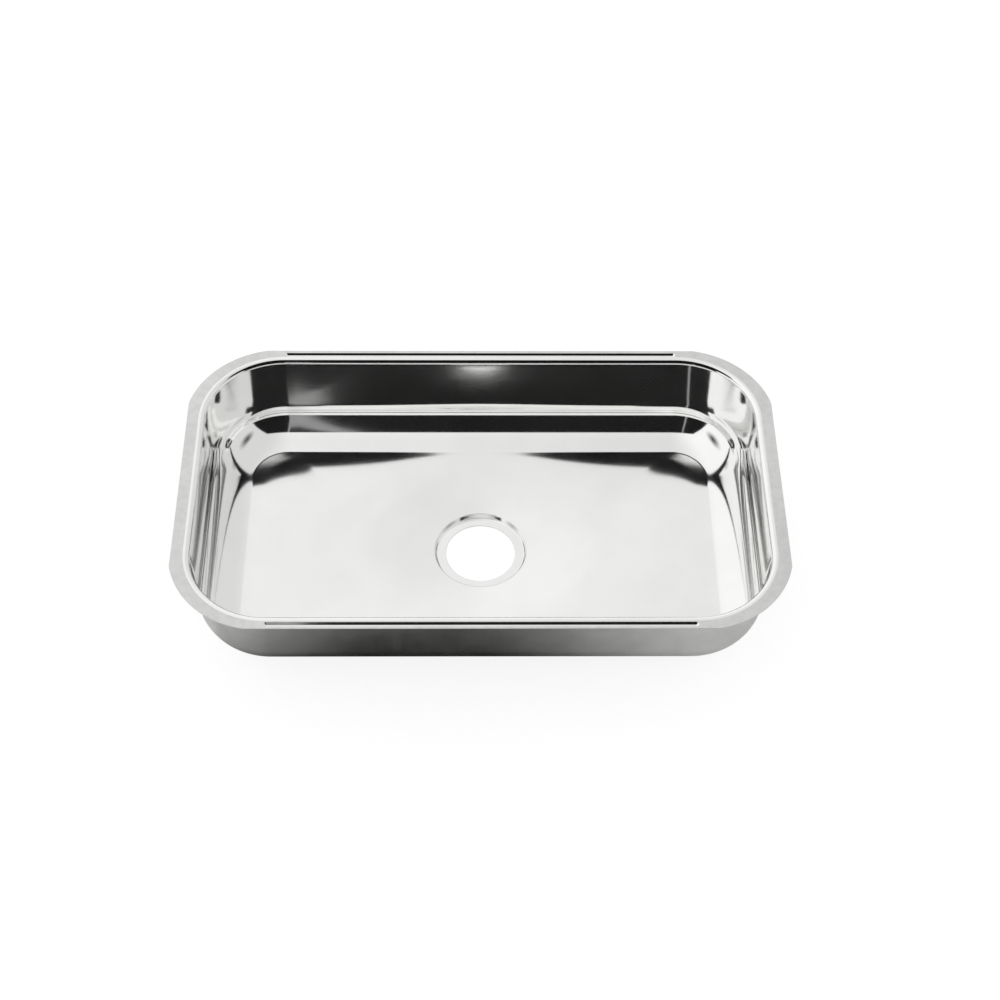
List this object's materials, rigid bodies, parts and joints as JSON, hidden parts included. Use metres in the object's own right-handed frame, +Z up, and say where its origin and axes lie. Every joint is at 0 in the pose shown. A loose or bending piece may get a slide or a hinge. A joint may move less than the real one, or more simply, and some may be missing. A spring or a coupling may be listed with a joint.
{
  "type": "undermount kitchen sink",
  "caption": "Pressed stainless steel single-bowl kitchen sink with a flat flange that is fixed under a worktop, and a central waste hole in a recessed seat.",
  "frame": {"origin": "centre of the waste, at the lowest point of the pressing", "axes": "+X to the right along the long side, +Y to the back, +Z up out of the bowl"},
  "size_m": [0.74, 0.438, 0.1467],
  "materials": {
    "polished_steel": "stainless steel, polished inside the bowl, satin on the flange",
    "damping_rubber": "matt black damping sheet"
  },
  "bodies": {
    "root": {"bowl": "polished_steel", "sound_pad_left": "damping_rubber", "sound_pad_right": "damping_rubber", "sound_pad_front": "damping_rubber", "sound_pad_back": "damping_rubber"}
  },
  "joints": []
}
